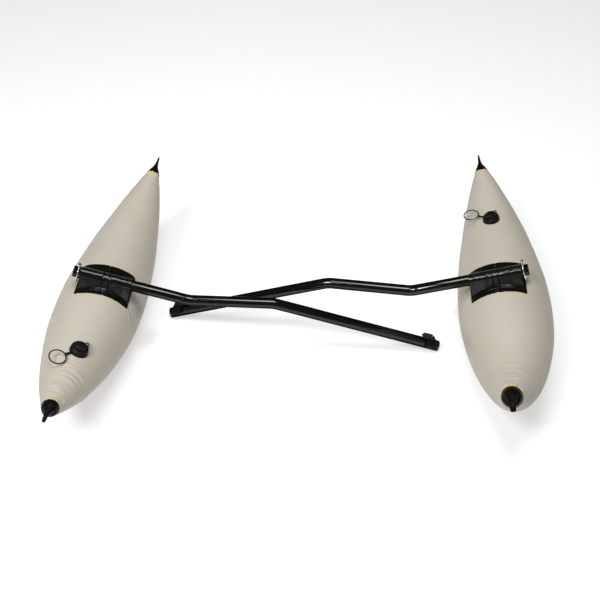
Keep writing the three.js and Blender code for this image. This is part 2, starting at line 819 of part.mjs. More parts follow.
function lowest(group, ending) {
  let low = Infinity;
  group.updateMatrixWorld(true);
  group.traverse((piece) => {
    if (!piece.isMesh || !piece.name.endsWith(ending)) return;
    const point = new THREE.Vector3();
    const points = piece.geometry.attributes.position;
    for (let i = 0; i < points.count; i += 1) {
      low = Math.min(low, point.fromBufferAttribute(points, i).applyMatrix4(piece.matrixWorld).z);
    }
  });
  return low;
}

// Rolls an outrigger towards its arm until belly and tube end are level, and stands it on the floor
function layDown(place) {
  const group = outrigger(place);
  let [small, large] = [0, maxRoll];
  for (let i = 0; i < rollSearches; i += 1) {
    const roll = (small + large) / 2;
    group.rotation.set(0, place.inboard * roll, -place.yaw, "ZYX");
    if (lowest(group, "_arm_tube") > lowest(group, "_float")) small = roll;
    else large = roll;
  }
  group.position.set(place.x, place.y, -lowest(group, "_float"));
  return group;
}

const pair = new THREE.Group();
pair.add(layDown(left), layDown(right));

// The origin is the middle of the pair's box, on the floor
pair.updateMatrixWorld(true);
const box = new THREE.Box3().setFromObject(pair, true);
const middle = box.getCenter(new THREE.Vector3());
pair.position.set(-middle.x, -middle.y, -box.min.z);

export default pair;
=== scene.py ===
import json
import math

import bpy
import numpy as np
from mathutils import Matrix, Vector


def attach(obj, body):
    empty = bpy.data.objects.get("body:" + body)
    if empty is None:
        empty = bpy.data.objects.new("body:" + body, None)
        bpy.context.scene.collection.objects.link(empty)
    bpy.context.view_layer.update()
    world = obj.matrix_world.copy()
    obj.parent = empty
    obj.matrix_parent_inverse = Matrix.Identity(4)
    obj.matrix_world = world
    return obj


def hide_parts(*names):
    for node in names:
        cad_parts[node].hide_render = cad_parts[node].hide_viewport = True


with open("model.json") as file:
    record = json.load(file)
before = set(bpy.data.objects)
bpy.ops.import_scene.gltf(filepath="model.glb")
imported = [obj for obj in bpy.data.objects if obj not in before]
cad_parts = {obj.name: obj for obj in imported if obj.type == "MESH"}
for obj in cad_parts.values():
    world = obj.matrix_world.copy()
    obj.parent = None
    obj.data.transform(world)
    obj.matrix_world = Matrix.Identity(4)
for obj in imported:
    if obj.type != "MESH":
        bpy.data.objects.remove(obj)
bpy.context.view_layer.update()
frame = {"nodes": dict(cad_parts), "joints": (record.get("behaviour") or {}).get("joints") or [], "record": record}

# Lengths below are in millimetres and are turned into metres when a mesh is made.
MM = 0.001

# Float and nose caps: the bow is alike on both, and each stern, nearer to the camera, has its own form.
# Rise and power shape the middle line, taper and blunt the girth, and cap is the rim's share of HALF.
# Root and tip are the half width and half height of the tail, and hoops counts the creases at that end.
HALF = 468.5
BOW = dict(sign=1, rise=147.0, power=2.39, taper=1.85, blunt=0.78, cap=0.952, droop=4.0, tail=19.0,
           root=(4.6, 3.6), tip=(1.7, 1.1), hoops=5, depth=0.4)
CAP_OVERLAP, CAP_THICK, CONE = 10.0, 1.2, 20.0

# Relief of the skin: heights, then spans, of lumps and grain, and the creases at the ends
LUMP, LUMP_SPAN = 0.40, (90, 240)
GRAIN, GRAIN_SPAN = 0.06, (18, 50)
GATHER, GATHER_REACH, GATHERS = 0.35, 13, 17
CREASE_ZONE, CREASE_START = 112.0, 9
RIPPLE, RIPPLE_PITCH, RIPPLE_AT, RIPPLE_SPREAD = 0.55, 9.5, 38, 15
PLEAT, PLEAT_TURN, PLEAT_WIDTH = 0.26, 1.75, 0.5

# Folds that fan out from a patch's inboard corners: start, heading, pitch, reach and depth at each corner
FAN_X, FAN_Y, FAN_COS, FAN_SIN = 82, 42, 0.78, 0.62
FAN_PITCH, FAN_OPENING, FAN_PEAK, FAN_LENGTH, FAN_WIDTH = 15, 60, 18, 30, 20
FAN_DEPTHS = ((-1, 0.75), (1, 0.3))

# Glue: width round a patch, how far out it lies, and its height as a share of its half width
PATCH_GLUE, PATCH_GLUE_OUT, GLUE_SHARE = 1.35, 0.9, 0.45

# Patches, tunnels and loop
PATCH_REACH, PATCH_LENGTH, PATCH_CENTRE, TUBE_PLACE = 73.5, 115.0, -3.0, -16.0
PATCH_SPLIT, PATCH_NOTCH = 0.12, 2.6
BOND, PATCH_THICK, SEAT_GAP, RUN_GAP = 0.7, 1.5, 0.3, 0.5
TUNNEL_REACH, LOOP_WIDTH, LOOP_GAP = 64.0, 13.0, 2.5
TUNNEL_WALL, FOOT_SPREAD, FOOT_SHARE, FLANGE = 1.6, 4.0, 0.25, 11.0

# Arm
TUBE_R, TUBE_WALL, BEND, BEND_R = 14.3, 1.65, math.radians(17.6), 80.0
OUTBOARD, TO_BEND, MIDDLE, INNER = 80.5, 216.0, 219.0, 461.0
PIN_X, RING_R, RING_WIRE = -70.5, 24.0, 1.5
RIVET_TO_BEND, BUTTON_FROM_END, RIVET_TURN = 16.0, 44.0, math.radians(62)
PIN_HEAD_R, PIN_R, PIN_TOP, PIN_TIP = 4.5, 3.0, 28.5, -21.8
RIVET_HEAD_R, RIVET_SHANK_R, RIVET_HEIGHT = 5.0, 2.5, 2.4
BUTTON_R, BUTTON_TIP, BUTTON_FLANGE_R, BUTTON_FLANGE, BUTTON_BASE = 4.0, -20.3, 5.5, -11.09, -10.29
TUBE_EDGE, OUTER_BORE, INNER_BORE = 0.3, 14, 16

# Valve
VALVE_TURN = math.radians(5.2)
FLANGE_R, NECK_R, CAP_R, STRAP, KEEPER_R = 23.5, 16.5, 21.5, 15.0, 21.0
SKIRT, COLLAR, COLLAR_THICK, LUG_TURN = 5.9, 3.4, 2.0, math.radians(58)
CAP_CEILING, CAP_SHOULDER, KNOB_R, KNOB_TOP = 10.5, 9.0, 12.6, 23.5
LUG_R, LUG_WIRE, GRIP_RIBS, GRIP_DEPTH = 3.7, 1.4, 36, 0.35

SIDES = {
    "left": dict(
        inboard=1, girth=219.5, yaw=7.6, arm_yaw=5.5, twist=0.5, valve=-259.5, strap=222.0, seed=11,
        corners=(3.0, 13.0), bow_glue=3.4,
        stern=dict(sign=-1, rise=133.0, power=2.45, taper=1.89, blunt=1.06, cap=0.89, droop=46.0,
                   tail=19.0, root=(6.5, 4.5), tip=(3.6, 1.8), hoops=11, depth=1.3, glue=2.4)),
    "right": dict(
        inboard=-1, girth=238.5, yaw=4.5, arm_yaw=1.2, twist=17.0, valve=260.0, strap=148.0, seed=23,
        corners=(3.0, 7.0), bow_glue=1.7,
        stern=dict(sign=-1, rise=211.8, power=3.51, taper=2.065, blunt=1.235, cap=0.861, droop=100.0,
                   tail=25.0, root=(9.8, 4.5), tip=(5.6, 1.8), hoops=6, depth=0.8, glue=3.6)),
}


# Meshes

def make(name, points, faces, matrix, material, body, stands_for=(), crease=35):
    """A mesh piece from points in millimetres, which rides on a body."""
    points = np.asarray(points, float).reshape(-1, 3)
    points = (points @ np.array(matrix.to_3x3()).T + np.array(matrix.translation)) * MM
    mesh = bpy.data.meshes.new(name)
    mesh.from_pydata(points.tolist(), [], faces)
    mesh.update()
    mesh.shade_smooth()
    if crease:
        mesh.set_sharp_from_angle(angle=math.radians(crease))
    mesh.materials.append(material)
    piece = bpy.data.objects.new(name, mesh)
    bpy.context.scene.collection.objects.link(piece)
    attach(piece, body)
    if stands_for:
        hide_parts(*stands_for)
    return piece


def grid_faces(rows, cols, close_rows=False, lids=False):
    """Quads between rings of points. The rows close into a ring of rings, or lids close both ends."""
    faces = []
    for r in range(rows if close_rows else rows - 1):
        a, b = r * cols, ((r + 1) % rows) * cols
        faces += [(a + c, a + (c + 1) % cols, b + (c + 1) % cols, b + c) for c in range(cols)]
    if lids:
        faces.append(tuple(range(cols))[::-1])
        faces.append(tuple(range((rows - 1) * cols, rows * cols)))
    return faces


def slab(top, bottom):
    """Points and faces of a closed slab between two equal grids of points."""
    rows, cols = top.shape[:2]
    points = np.concatenate([top.reshape(-1, 3), bottom.reshape(-1, 3)])
    under = rows * cols
    faces = []
    for r in range(rows - 1):
        for c in range(cols - 1):
            a = r * cols + c
            quad = (a, a + 1, a + cols + 1, a + cols)
            faces.append(quad)
            faces.append(tuple(under + q for q in quad[::-1]))
    edge = [c for c in range(cols)]
    edge += [r * cols + cols - 1 for r in range(1, rows)]
    edge += [(rows - 1) * cols + c for c in range(cols - 2, -1, -1)]
    edge += [r * cols for r in range(rows - 2, 0, -1)]
    faces += [(a, under + a, under + b, b) for a, b in zip(edge, edge[1:] + edge[:1])]
    return points, faces


def lathe(name, profile, matrix, material, body, stands_for=(), n=72, crease=35):
    """A turned piece about Z from (radius, height) pairs that start and end on the axis."""
    turn = np.linspace(0, 2 * np.pi, n, endpoint=False)
    rings = [[(r * math.cos(t), r * math.sin(t), z) for t in turn] for r, z in profile[1:-1]]
    points = [p for ring in rings for p in ring] + [(0, 0, profile[0][1]), (0, 0, profile[-1][1])]
    first, last = len(rings) * n, len(rings) * n + 1
    faces = grid_faces(len(rings), n)
    faces += [(first, (c + 1) % n, c) for c in range(n)]
    end = (len(rings) - 1) * n
    faces += [(end + c, end + (c + 1) % n, last) for c in range(n)]
    return make(name, points, faces, matrix, material, body, stands_for, crease)


def revolve(name, section, matrix, material, body, stands_for=(), n=96, crease=30):
    """A closed ring about Z with the given (radius, height) section."""
    turn = np.linspace(0, 2 * np.pi, n, endpoint=False)
    points = [[(r * math.cos(t), r * math.sin(t), z) for r, z in section] for t in turn]
    faces = grid_faces(n, len(section), close_rows=True)
    return make(name, points, faces, matrix, material, body, stands_for, crease)


def circle(big, small, height, n=14):
    """The round section of a ring of wire, for revolve."""
    turn = np.linspace(0, 2 * np.pi, n, endpoint=False)
    return [(big + small * math.cos(t), height + small * math.sin(t)) for t in turn]


def rounded(corners, radius, steps=5):
    """A polyline of (radius, height) corners with the inner ones rounded off."""
    out = [corners[0]]
    for before, corner, after in zip(corners, corners[1:], corners[2:]):
        p, a, b = (np.array(q, float) for q in (corner, before, after))
        la, lb = np.linalg.norm(a - p), np.linalg.norm(b - p)
        cut = min(radius, la * 0.45, lb * 0.45)
        s, e = p + (a - p) / la * cut, p + (b - p) / lb * cut
        for t in np.linspace(0, 1, steps):
            out.append(tuple((1 - t) ** 2 * s + 2 * t * (1 - t) * p + t * t * e))
    out.append(corners[-1])
    return out


def shift(x, y=0.0, z=0.0):
    return Matrix.Translation((x, y, z))


def waves(seed, count, low, high):
    """A smooth wandering function of two lengths, from sines of seeded directions and phases."""
    rng = np.random.RandomState(seed)
    terms = []
    for _ in range(count):
        heading = rng.uniform(0, 2 * np.pi)
        k = 2 * np.pi / rng.uniform(low, high)
        terms.append((k * math.cos(heading), k * math.sin(heading), rng.uniform(0, 2 * np.pi)))

    def value(u, v):
        return sum(np.sin(a * u + b * v + c) for a, b, c in terms) / math.sqrt(count)
    return value


# One outrigger's form and frames

class Outrigger:
    """The float's form, and the matrices of float, arm and valve in millimetres."""

    def __init__(self, side):
        v = SIDES[side]
        self.side, self.inboard, self.seed = side, v["inboard"], v["seed"]
        self.radius, self.place, self.corners = v["girth"] / 2, v["valve"], v["corners"]
        self.ends = (v["stern"], dict(BOW, glue=v["bow_glue"]))
        self.body = side + "_outrigger_float"
        self.heading = math.radians(v["arm_yaw"] if v["inboard"] > 0 else 180 - v["arm_yaw"])
        self.folds = self.random_folds()
        self.lift = BOND + PATCH_THICK + SEAT_GAP + TUBE_R + RUN_GAP
        z, _, _ = self.spine(TUBE_PLACE / HALF)
        self.tube_height = float(z + self.radius_at(TUBE_PLACE / HALF)) + self.lift

        # The float's frame follows from the joint that the float turns on, which is the tube's axis
        joint = next(j for j in frame["joints"] if j["name"] == side + "_float_turn")
        roll = math.asin(-joint["axis"][2] / math.cos(self.heading))
        turn = Matrix.Rotation(-math.radians(v["yaw"]), 4, "Z") @ Matrix.Rotation(roll, 4, "Y")
        tube = Vector((0, TUBE_PLACE, self.tube_height))
        start = Vector(joint["pos_m"]) / MM - turn.to_3x3() @ tube
        self.base = Matrix.Translation(start) @ turn
        self.on_top = self.base @ Matrix.Translation(tube) @ Matrix.Rotation(self.heading, 4, "Z")
        twist = -v["inboard"] * math.radians(v["twist"])
        self.arm = self.on_top @ Matrix.Rotation(twist, 4, "X")

        s, e = self.place / HALF, math.radians(1)
        along = self.skin(s + e, VALVE_TURN) - self.skin(s - e, VALVE_TURN)
        across = self.skin(s, VALVE_TURN + e) - self.skin(s, VALVE_TURN - e)
        along, across = Vector(along).normalized(), Vector(across).normalized()
        valve = Matrix((across, along, across.cross(along))).transposed().to_4x4()
        valve.translation = Vector(self.skin(s, VALVE_TURN))
        self.valve = self.base @ valve
        self.tether = self.valve @ Matrix.Rotation(math.radians(v["strap"] + v["yaw"]), 4, "Z")

    def radius_at(self, s):
        """Radius of the float's section at a share of its half length."""
        reach = np.minimum(np.abs(np.asarray(s, float)), 0.9999)
        near, far = (self.radius * (1 - reach ** end["taper"]) ** end["blunt"] for end in self.ends)
        return np.where(np.asarray(s) < 0, near, far)

    def spine(self, s):
        """Height of the middle line, and the direction square to it."""
        s = np.asarray(s, float)
        rise, power = (np.where(s < 0, *(end[key] for end in self.ends)) for key in ("rise", "power"))
        slope = np.sign(s) * power * rise * np.abs(s) ** (power - 1) / HALF
        n = np.sqrt(1 + slope ** 2)
        return rise * np.abs(s) ** power, -slope / n, 1 / n

    def skin(self, s, phi, over=0.0):
        """Points over the skin: phi is the angle from the top."""
        s, phi, over = np.broadcast_arrays(*(np.asarray(a, float) for a in (s, phi, over)))
        z, uy, uz = self.spine(s)
        r = self.radius_at(s) + over
        c = r * np.cos(phi)
        return np.stack([r * np.sin(phi), s * HALF + c * uy, z + c * uz], -1)

    def draped(self, across, along, over=0.0):
        """Points over the wrinkled skin, from lengths measured on it from the middle of the top."""
        s = np.asarray(along, float) / HALF
        phi = np.asarray(across, float) / self.radius_at(s)
        return self.skin(s, phi, over + self.relief(s, phi))

    def on_patch(self, x, y, over=0.0, centre=PATCH_CENTRE):
        """A point over the skin from the arm's own directions: x along the arm, y across it."""
        c, s = math.cos(self.heading), math.sin(self.heading)
        return self.draped(x * c - y * s, centre + x * s + y * c, over)

    def patch_height(self, x, y):
        """Height of the patch's top over the tube's axis."""
        c, s = math.cos(self.heading), math.sin(self.heading)
        across, share = x * c - y * s, (TUBE_PLACE + x * s + y * c) / HALF
        z, _, _ = self.spine(share)
        r = self.radius_at(share) + BOND + PATCH_THICK
        return float(z + np.sqrt(np.maximum(r ** 2 - across ** 2, 1.0))) - self.tube_height

    def random_folds(self):
        """Soft creases round each end: distance from the cap's rim, angle, span, depth and width."""
        rng = np.random.RandomState(self.seed + 5)
        folds = []
        for end in self.ends:
            gap = CREASE_ZONE / end["hoops"]
            for k in range(end["hoops"]):
                folds.append(dict(
                    end=end, away=CREASE_START + gap * (k + rng.uniform(-0.45, 0.45)),
                    turn=rng.normal(0.1, 0.75),
                    span=rng.uniform(0.3, 0.75), depth=end["depth"] * rng.uniform(0.5, 1.3),
                    width=rng.uniform(2.4, 5.2), bow=rng.uniform(-7.0, 9.0)))
        return folds

    def relief(self, s, phi):
        """Height of lumps and wrinkles over the smooth skin."""
        s, phi = np.asarray(s, float), np.asarray(phi, float)
        phi = (phi + np.pi) % (2 * np.pi) - np.pi
        y, arc = s * HALF, phi * self.radius_at(s)
        lumps, grain = waves(self.seed, 7, *LUMP_SPAN), waves(self.seed + 1, 8, *GRAIN_SPAN)
        out = LUMP * lumps(y, arc) + GRAIN * grain(y, arc)
        for f in self.folds:
            away = f["end"]["cap"] * HALF - f["end"]["sign"] * y
            t = (away - f["away"] - f["bow"] * (phi - f["turn"]) ** 2) / f["width"]
            out = out + f["depth"] * 1.6 * t * np.exp(-t * t / 2 - ((phi - f["turn"]) / f["span"]) ** 2)
        for end in self.ends:
            away = end["cap"] * HALF - end["sign"] * y
            gather = np.exp(-np.clip(away, 0, None) / GATHER_REACH) * (away > -2)
            out = out + GATHER * gather * np.sin(GATHERS * phi + 1.5 * np.sin(3 * phi + self.seed))
        return out + self.valve_ripples(y, arc) + self.patch_folds(y, arc)

    def valve_ripples(self, y, arc):
        """Rings in the skin round the valve's welded flange."""
        dx, dy = arc - VALVE_TURN * float(self.radius_at(self.place / HALF)), y - self.place
        d, turn = np.hypot(dx, dy), np.arctan2(dy, dx)
        lobes = 0.7 + 0.4 * np.sin(2 * turn + self.seed) + 0.25 * np.sin(5 * turn + 1)
        ring = np.sin(2 * np.pi * d / RIPPLE_PITCH + 0.9 * np.sin(3 * turn))
        return RIPPLE * lobes * ring * np.exp(-((d - RIPPLE_AT) / RIPPLE_SPREAD) ** 2)

    def patch_folds(self, y, arc):
        """Folds that fan out from the inboard corners of the stiffer patch."""
        x = self.inboard * arc
        out = 0.0
        for corner, depth in FAN_DEPTHS:
            u, w = x - FAN_X, corner * (y - PATCH_CENTRE) - FAN_Y
            t, n = FAN_COS * u + FAN_SIN * w, FAN_COS * w - FAN_SIN * u
            spread = 1 + np.clip(t, 0, None) / FAN_OPENING
            fold = np.sin(2 * np.pi * n / (FAN_PITCH * spread) + 0.6)
            near = ((t - FAN_PEAK) / FAN_LENGTH) ** 2 + (n / (FAN_WIDTH * spread)) ** 2
            out = out + depth * fold * np.exp(-near)
        return out


# Materials

def material(name, color, rough, metal=0.0, spec=0.5, tint=1.0, mottle=None, bump=(), vary=0.0):
    """A principled material. mottle is (other colour, scale, low, high), and bump holds (scale, metres)."""
    m = bpy.data.materials.new(name)
    m.use_nodes = True
    nodes, link = m.node_tree.nodes, m.node_tree.links.new
    shader = nodes["Principled BSDF"]
    shader.inputs["Base Color"].default_value = (*color, 1)
    shader.inputs["Roughness"].default_value = rough
    shader.inputs["Metallic"].default_value = metal
    shader.inputs["Specular IOR Level"].default_value = spec
    shader.inputs["Specular Tint"].default_value = (tint, tint, tint, 1)
    place = nodes.new("ShaderNodeTexCoord")

    def noise(scale, detail, seed):
        n = nodes.new("ShaderNodeTexNoise")
        n.noise_dimensions = "4D"
        n.inputs["Scale"].default_value = scale
        n.inputs["Detail"].default_value = detail
        n.inputs["W"].default_value = seed
        link(place.outputs["Object"], n.inputs["Vector"])
        return n.outputs["Fac"]

    def ranged(value, low, high, to_low=0.0, to_high=1.0):
        r = nodes.new("ShaderNodeMapRange")
        r.inputs["From Min"].default_value = low
        r.inputs["From Max"].default_value = high
        r.inputs["To Min"].default_value = to_low
        r.inputs["To Max"].default_value = to_high
        link(value, r.inputs["Value"])
        return r.outputs["Result"]

    if mottle:
        other, scale, low, high = mottle
        mix = nodes.new("ShaderNodeMix")
        mix.data_type = "RGBA"
        mix.inputs["A"].default_value = (*color, 1)
        mix.inputs["B"].default_value = (*other, 1)
        link(ranged(noise(scale, 5.0, 1.3), low, high), mix.inputs["Factor"])
        link(mix.outputs["Result"], shader.inputs["Base Color"])
    if vary:
        soft = ranged(noise(35.0, 4.0, 7.7), 0.3, 0.7, max(0.02, rough - vary), rough + vary)
        link(soft, shader.inputs["Roughness"])
    normal = None
    for scale, distance in bump:
        n = nodes.new("ShaderNodeBump")
        n.inputs["Strength"].default_value = 1.0
        n.inputs["Distance"].default_value = distance
        link(noise(scale, 3.0, scale * 0.01), n.inputs["Height"])
        if normal:
            link(normal, n.inputs["Normal"])
        normal = n.outputs["Normal"]
    if normal:
        link(normal, shader.inputs["Normal"])
    return m


PVC = material("beige_pvc", (0.60, 0.55, 0.465), 0.48, spec=0.4,
               mottle=((0.57, 0.515, 0.425), 14.0, 0.35, 0.75), bump=((1400.0, 0.00004), (60.0, 0.00012)),
               vary=0.06)
FABRIC = material("black_fabric", (0.003, 0.003, 0.0027), 0.44, spec=0.07,
                  mottle=((0.007, 0.007, 0.006), 90.0, 0.4, 0.8),
                  bump=((1500.0, 0.00006), (150.0, 0.0003)), vary=0.10)
SLEEVE = material("black_sleeve", (0.003, 0.003, 0.0027), 0.17, spec=0.36,
                  mottle=((0.006, 0.006, 0.0055), 260.0, 0.45, 0.7),
                  bump=((420.0, 0.00006), (110.0, 0.00012)), vary=0.05)
TUBE = material("black_gloss", (0.040, 0.040, 0.037), 0.10, metal=1.0, tint=0.12,
                mottle=((0.052, 0.050, 0.046), 60.0, 0.4, 0.8), bump=((220.0, 0.00002),), vary=0.02)
PLASTIC = material("black_plastic", (0.0035, 0.0035, 0.003), 0.36, spec=0.17,
                   mottle=((0.009, 0.009, 0.008), 120.0, 0.4, 0.8), bump=((1500.0, 0.00004),), vary=0.06)
STEEL = material("polished_steel", (0.70, 0.69, 0.66), 0.16, metal=1.0,
                 mottle=((0.58, 0.57, 0.55), 200.0, 0.4, 0.7), bump=((700.0, 0.00002),), vary=0.06)
GLUE = material("dried_glue", (0.66, 0.53, 0.20), 0.3, spec=0.5,
                mottle=((0.72, 0.62, 0.32), 160.0, 0.35, 0.7), bump=((500.0, 0.0001),), vary=0.1)
CAD_LOOKS = {"plastic": PLASTIC, "steel": STEEL, "rubber": FABRIC, "tube": TUBE, "float": PVC}


# Floats

def float_skin(o):
    low, high = (end["sign"] * (end["cap"] + CAP_OVERLAP / HALF) for end in o.ends)
    rows, cols = ((520, 260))
    t = np.linspace(0, 1, rows)
    s = low + (high - low) * (t + (1 - np.cos(np.pi * t)) / 2) / 2
    phi = np.linspace(0, 2 * np.pi, cols, endpoint=False)
    s, phi = np.meshgrid(s, phi, indexing="ij")
    points = o.skin(s, phi, o.relief(s, phi))
    make(o.side + "_air_float", points, grid_faces(rows, cols, lids=True), o.base, PVC, o.body,
         (o.side + "_float",), crease=0)


def nose_cap(o, end):
    """A glued cup, then a cone of folded fabric that is pinched into a flat tail and droops."""
    sign, n = end["sign"], 120
    phi = np.linspace(0, 2 * np.pi, n, endpoint=False)
    turned = (phi + np.pi) % (2 * np.pi) - np.pi
    rim, seat = sign * end["cap"], sign * (end["cap"] + CAP_OVERLAP / HALF)
    rows = []
    for back, over in ((0, 0.2), (0.2, 0.4), (0.25, 0.9), (0.05, 1.1)):
        rows.append(o.skin(rim - sign * back / HALF, phi, over))
    for k in range(1, 9):
        uneven = 0.15 * np.sin(9 * phi + o.seed) * k / 8
        rows.append(o.skin(rim + (seat - rim) * k / 8, phi, CAP_THICK + uneven))
    z, uy, uz = (float(a) for a in o.spine(seat))
    start = float(o.radius_at(seat)) + CAP_THICK
    centre = np.array([0.0, seat * HALF, z])
    up0, out0 = np.array([0.0, uy, uz]), np.array([0.0, uz, -uy]) * sign
    length, steps = CONE + end["tail"], 48
    droop = math.radians(end["droop"])
    grip = waves(o.seed + 40 + sign, 4, 14, 30)
    for k in range(1, steps + 1):
        x = length * k / steps
        a = droop * (x - length / steps / 2) / length
        centre = centre + (out0 * math.cos(a) - up0 * math.sin(a)) * (length / steps)
        a = droop * x / length
        along = out0 * math.cos(a) - up0 * math.sin(a)
        up = up0 * math.cos(a) + out0 * math.sin(a)
        if x < CONE:
            ease = 1 - (1 - x / CONE) ** 1.5
            w, h = (start + (root - start) * ease for root in end["root"])
        else:
            t = (x - CONE) / end["tail"]
            w, h = (root + (tip - root) * t for root, tip in zip(end["root"], end["tip"]))
        folded = math.sin(math.pi * min(1, x / (CONE * 1.5))) ** 0.7
        hollow = np.exp(-((np.abs(turned) - PLEAT_TURN) / PLEAT_WIDTH) ** 2)
        hollow = hollow + 0.3 * np.exp(-(turned / 0.3) ** 2)
        pleat = 1 - PLEAT * folded * hollow + 0.02 * folded * np.sin(7 * phi + o.seed)
        px = np.sin(phi) * w * pleat
        pz = np.cos(phi) * h * pleat + 0.3 * grip(x, px)
        rows.append(centre + px[:, None] * np.array([1.0, 0, 0]) + pz[:, None] * up)
    last = rows[-1]
    for shrink, push in ((0.86, 0.5), (0.5, 0.8)):
        rows.append(last.mean(0) + (last - last.mean(0)) * shrink + along * push)
    node = o.side + ("_bow" if sign > 0 else "_stern") + "_nose_cap"
    make(node + "_boot", rows, grid_faces(len(rows), n, lids=True), o.base, FABRIC, o.body,
         (node,), crease=50)
    angle = np.linspace(0, 2 * np.pi, 180, endpoint=False)
    heavy = 0.45 + 0.65 * np.exp(-((angle + np.pi) % (2 * np.pi) - np.pi) ** 2 / 2.2)
    back = rim - sign * end["glue"] * 1.1 * heavy / HALF
    glue_bead(o, node + "_glue", o.skin(back, angle, 0.3), o.skin(back, angle, 1.3), end["glue"] * heavy,
              closed=True)
    angle = np.linspace(-1.1, 0.5, 90)
    stray = rim - sign * (2.2 * end["glue"] + 1.6 * np.sin(3.1 * angle + o.seed)) / HALF
    glue_bead(o, node + "_glue_run", o.skin(stray, angle, 0.1), o.skin(stray, angle, 1.1),
              0.35 * end["glue"], closed=False)


def glue_bead(o, name, line, lifted, width, closed):
    """An uneven bead of glue along points on the skin. Lifted holds the same points 1 mm further out."""
    n = len(line)
    phase = np.random.RandomState(o.seed + len(name)).uniform(0, 2 * np.pi, 6)
    around = np.arange(n) / n * 2 * np.pi
    wobble = sum(np.sin((3 + 4 * k) * around + phase[k]) for k in range(6)) / 3.2
    size = width * np.clip(1 + 0.6 * wobble, 0.3, 2.0)
    if closed:
        tangent = np.roll(line, -1, 0) - np.roll(line, 1, 0)
    else:
        tangent = np.gradient(line, axis=0)
        size = size * np.minimum(1, np.minimum(np.arange(n), n - 1 - np.arange(n)) / 3 + 0.2)
    tangent /= np.linalg.norm(tangent, axis=1, keepdims=True)
    sideways = np.cross(tangent, lifted - line)
    sideways /= np.linalg.norm(sideways, axis=1, keepdims=True)
    outward = np.cross(sideways, tangent)
    turn = np.linspace(0, 2 * np.pi, 8, endpoint=False)
    flat = sideways[:, None] * (np.cos(turn)[None, :, None] * size[:, None, None])
    proud = outward[:, None] * (np.sin(turn)[None, :, None] * size[:, None, None] * GLUE_SHARE)
    faces = grid_faces(n, len(turn), close_rows=closed, lids=not closed)
    make(name, line[:, None] + flat + proud, faces, o.base, GLUE, o.body, crease=0)


def corner_trim(distance, radius):
    """How far a rounded corner draws in at a distance from the edge beside it."""
    inside = max(0.0, radius - distance)
    return radius - math.sqrt(radius ** 2 - inside ** 2)


def patch_ends(o, x):
    """Lowest and highest y of the patch at a distance x from its split."""
    near, far = (PATCH_LENGTH / 2 - corner_trim(PATCH_REACH - x, r) for r in o.corners)
    notch = max(0.0, PATCH_NOTCH - (x - PATCH_SPLIT))
    low, high = (near, far) if o.inboard > 0 else (far, near)
    return notch - low, high - notch


def half_patch(o, sign, node):
    """One half of the bonded patch: a sheet that follows the skin, with a line of glue round it."""
    n = 64
    u = np.concatenate([[0, 0.004], np.linspace(0.02, 0.98, n), [0.996, 1]])
    edge = np.array([0.35, 0.85] + [1.0] * n + [0.85, 0.35])
    rough = waves(o.seed + 60 + sign, 7, 18, 60)
    top, bottom = [], []
    for a, rim in zip(u, edge):
        x = PATCH_SPLIT + (PATCH_REACH - PATCH_SPLIT) * a
        low, high = patch_ends(o, x)
        y = low + (high - low) * u
        height = np.minimum(rim, edge) * (BOND + PATCH_THICK + 0.14 * rough(np.full_like(y, x), y))
        top.append(o.on_patch(sign * x, y, height))
        bottom.append(o.on_patch(sign * x, y, 0.05))
    points, faces = slab(np.array(top), np.array(bottom))
    make(f"{node}_sheet", points, faces, o.base, FABRIC, o.body, (node,), crease=60)
    xs = np.linspace(PATCH_SPLIT, PATCH_REACH, 60)
    ends = np.array([patch_ends(o, x) for x in xs])
    side = np.linspace(ends[-1, 0], ends[-1, 1], 60)[1:-1]
    x = np.concatenate([xs, np.full_like(side, PATCH_REACH), xs[::-1]])
    y = np.concatenate([ends[:, 0], side, ends[::-1, 1]])
    x, y = sign * (x + PATCH_GLUE_OUT), y * 1.016
    glue_bead(o, f"{node}_glue", o.on_patch(x, y, 0.2), o.on_patch(x, y, 1.2), PATCH_GLUE, closed=False)


def tunnel_section(o, x, bulge):
    """Outline of a tunnel at x: from one flange up over the tube, down to the other, and back inside."""
    outer, inner = TUBE_R + RUN_GAP + TUNNEL_WALL, TUBE_R + RUN_GAP
    drop = -o.patch_height(x, 0.0)
    foot = outer + FOOT_SPREAD + FOOT_SHARE * (drop - o.lift)
    edge = foot + FLANGE
    start = math.radians(8)
    arch = np.array((outer * math.cos(start), outer * math.sin(start)))
    sag = 1.2 * min(1.0, (drop - o.lift) / 14)

    def wall(side):
        out = []
        flange = ((edge, 0.1), (edge - 0.2, 0.5), (edge - 0.9, 0.8), (foot + 6, 0.9), (foot + 3, 1.1))
        for y, over in flange:
            out.append((side * y, o.patch_height(x, side * y) + over))
        low = np.array((foot + 1, o.patch_height(x, side * foot) + 1.8))
        out.append((side * low[0], low[1]))
        for t in np.linspace(0.15, 0.9, 6):
            y, z = low + (arch - low) * t
            out.append((side * (y - sag * math.sin(math.pi * t)), z))
        return out

    turns = np.linspace(start, math.pi - start, 25)
    over = wall(1) + [(outer * math.cos(a), outer * math.sin(a)) for a in turns] + wall(-1)[::-1]
    hem = foot - TUNNEL_WALL
    under = [(side * hem, o.patch_height(x, side * hem)) for side in (-1, 1)]
    back = under[:1] + [(inner * math.cos(a), inner * math.sin(a)) for a in turns[::-1]] + under[1:]
    over = np.array(over)
    swell = 1 + 0.16 * bulge(np.full(len(over), x), over[:, 0] * 1.3) / np.linalg.norm(over, axis=1)
    ring = np.concatenate([over * swell[:, None], np.array(back)])
    return np.column_stack([np.full(len(ring), x), ring])


